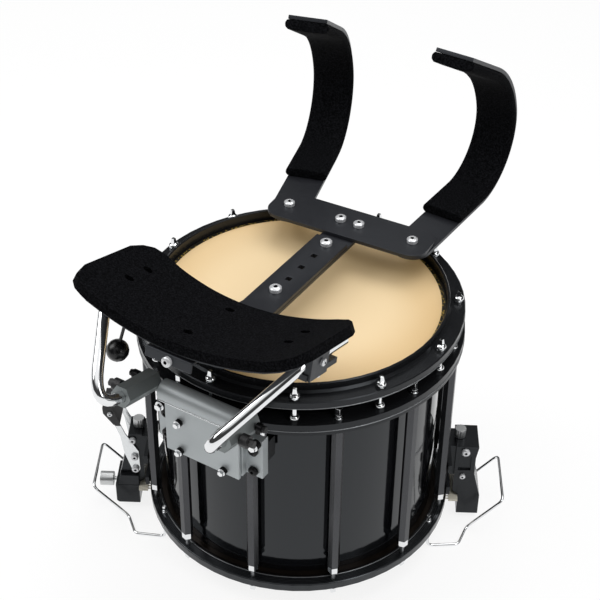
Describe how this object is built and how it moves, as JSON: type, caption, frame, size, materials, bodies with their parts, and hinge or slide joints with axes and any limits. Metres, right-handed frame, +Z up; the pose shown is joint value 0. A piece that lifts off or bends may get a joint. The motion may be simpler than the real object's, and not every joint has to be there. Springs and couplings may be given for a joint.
{
  "type": "marching snare drum",
  "caption": "Tubular-framed marching snare drum with its padded shoulder carrier folded over the head, snare throw-off, butt and wire guards that serve as feet",
  "frame": {"origin": "under the middle of the whole part's box, on the ground its wire feet stand on", "axes": "+Z up along the drum's axis, -Y the side where the player stands and the carrier bracket is, +X to the right seen from the player's side of the picture"},
  "size_m": [0.512, 0.6466, 0.6182],
  "materials": {
    "gloss_black_lacquer": "gloss black lacquer over a wood shell",
    "woven_aramid_film": "tan woven aramid film, slightly glossy",
    "clear_film": "thin hazy film with a copper-coloured hoop",
    "chrome": "polished chrome",
    "gut_strands": "off-white gut strands",
    "dark_anodised_aluminium": "dark anodised aluminium",
    "silver_aluminium": "satin silver-grey aluminium",
    "black_plastic": "black plastic",
    "foam": "black closed-cell foam with a cloth face",
    "black_cast_aluminium": "black coated cast aluminium",
    "black_painted_metal": "satin black coated aluminium"
  },
  "bodies": {
    "drum": {"shell": "gloss_black_lacquer", "batter_head": "woven_aramid_film", "batter_hoop": "black_cast_aluminium", "frame_ring": "dark_anodised_aluminium", "snare_head": "clear_film", "snare_hoop": "black_cast_aluminium", "batter_rod_01": "chrome", "snare_rod_01": "chrome", "batter_rod_02": "chrome", "snare_rod_02": "chrome", "batter_rod_03": "chrome", "snare_rod_03": "chrome", "batter_rod_04": "chrome", "snare_rod_04": "chrome", "batter_rod_05": "chrome", "snare_rod_05": "chrome", "batter_rod_06": "chrome", "snare_rod_06": "chrome", "batter_rod_07": "chrome", "snare_rod_07": "chrome", "batter_rod_08": "chrome", "snare_rod_08": "chrome", "batter_rod_09": "chrome", "snare_rod_09": "chrome", "batter_rod_10": "chrome", "snare_rod_10": "chrome", "batter_rod_11": "chrome", "snare_rod_11": "chrome", "batter_rod_12": "chrome", "snare_rod_12": "chrome", "snare_strands": "gut_strands", "throwoff_body": "black_cast_aluminium", "guard_left": "chrome", "butt_body": "black_cast_aluminium", "guard_right": "chrome", "bracket_front": "silver_aluminium", "bracket_back": "black_painted_metal"},
    "receivers": {"receiver_yoke": "silver_aluminium"},
    "receiver_screw_left": {"receiver_screw_left": "black_plastic"},
    "receiver_screw_right": {"receiver_screw_right": "black_plastic"},
    "carrier": {"carrier_rod_left": "chrome", "carrier_rod_right": "chrome", "belly_plate": "black_painted_metal", "belly_pad": "foam", "rod_clamp_left": "black_painted_metal", "rod_clamp_right": "black_painted_metal", "spine_upper": "black_painted_metal"},
    "plate_lock": {"plate_lock_lever": "black_plastic"},
    "spine": {"spine_lower": "black_painted_metal", "crossbar": "black_painted_metal"},
    "shoulder_left": {"shoulder_bar_left": "black_painted_metal", "shoulder_pad_left": "foam"},
    "shoulder_right": {"shoulder_bar_right": "black_painted_metal", "shoulder_pad_right": "foam"},
    "throwoff_lever": {"throwoff_lever": "chrome"},
    "throwoff_jaw": {"throwoff_jaw": "black_cast_aluminium"},
    "clamp_knob": {"throwoff_clamp_knob": "silver_aluminium"},
    "tension_knob": {"throwoff_tension_knob": "silver_aluminium"},
    "butt_knob": {"butt_tension_knob": "silver_aluminium"}
  },
  "joints": [
    {"name": "carrier_tilt", "type": "hinge", "parent": "drum", "child": "receivers", "pos_m": [0, -0.23371, 0.3242], "axis": [1, 0, 0], "range_deg": [-2, 30]},
    {"name": "carrier_slide", "type": "slide", "parent": "receivers", "child": "carrier", "axis": [0, -0.9703, 0.2419], "range_m": [0, 0.02]},
    {"name": "receiver_screw_left_turn", "type": "hinge", "parent": "receivers", "child": "receiver_screw_left", "pos_m": [-0.068, -0.27252, 0.34188], "axis": [-1, 0, 0], "continuous": true},
    {"name": "receiver_screw_right_turn", "type": "hinge", "parent": "receivers", "child": "receiver_screw_right", "pos_m": [0.068, -0.27252, 0.34188], "axis": [1, 0, 0], "continuous": true},
    {"name": "plate_lock_swing", "type": "hinge", "parent": "carrier", "child": "plate_lock", "pos_m": [-0.092, -0.23661, 0.4322], "axis": [0, 0, 1], "range_deg": [-40, 40]},
    {"name": "spine_slide", "type": "slide", "parent": "carrier", "child": "spine", "axis": [0, 1, 0], "range_m": [0, 0.0576]},
    {"name": "shoulder_left_swing", "type": "hinge", "parent": "spine", "child": "shoulder_left", "pos_m": [-0.08682, 0.08867, 0.3849], "axis": [0, 0, 1], "range_deg": [-15, 20]},
    {"name": "shoulder_right_swing", "type": "hinge", "parent": "spine", "child": "shoulder_right", "pos_m": [0.08682, 0.0999, 0.3849], "axis": [0, 0, 1], "range_deg": [-20, 15]},
    {"name": "throwoff_lever_swing", "type": "hinge", "parent": "drum", "child": "throwoff_lever", "pos_m": [-0.18793, -0.12921, 0.0672], "axis": [0.5, -0.866, 0], "range_deg": [0, 60]},
    {"name": "throwoff_jaw_drop", "type": "slide", "parent": "drum", "child": "throwoff_jaw", "axis": [0, 0, -1], "range_m": [0, 0.005]},
    {"name": "clamp_knob_turn", "type": "hinge", "parent": "throwoff_jaw", "child": "clamp_knob", "pos_m": [-0.21304, -0.14371, 0.0282], "axis": [-0.866, -0.5, 0], "continuous": true},
    {"name": "tension_knob_turn", "type": "hinge", "parent": "drum", "child": "tension_knob", "pos_m": [-0.1836, -0.12671, 0.1262], "axis": [0, 0, 1], "continuous": true},
    {"name": "butt_knob_turn", "type": "hinge", "parent": "drum", "child": "butt_knob", "pos_m": [0.1836, 0.08529, 0.1262], "axis": [0, 0, 1], "continuous": true}
  ],
  "couplings": [
    {"joint": "throwoff_jaw_drop", "follows": "throwoff_lever_swing", "m_per_rad": 0.0047}
  ]
}
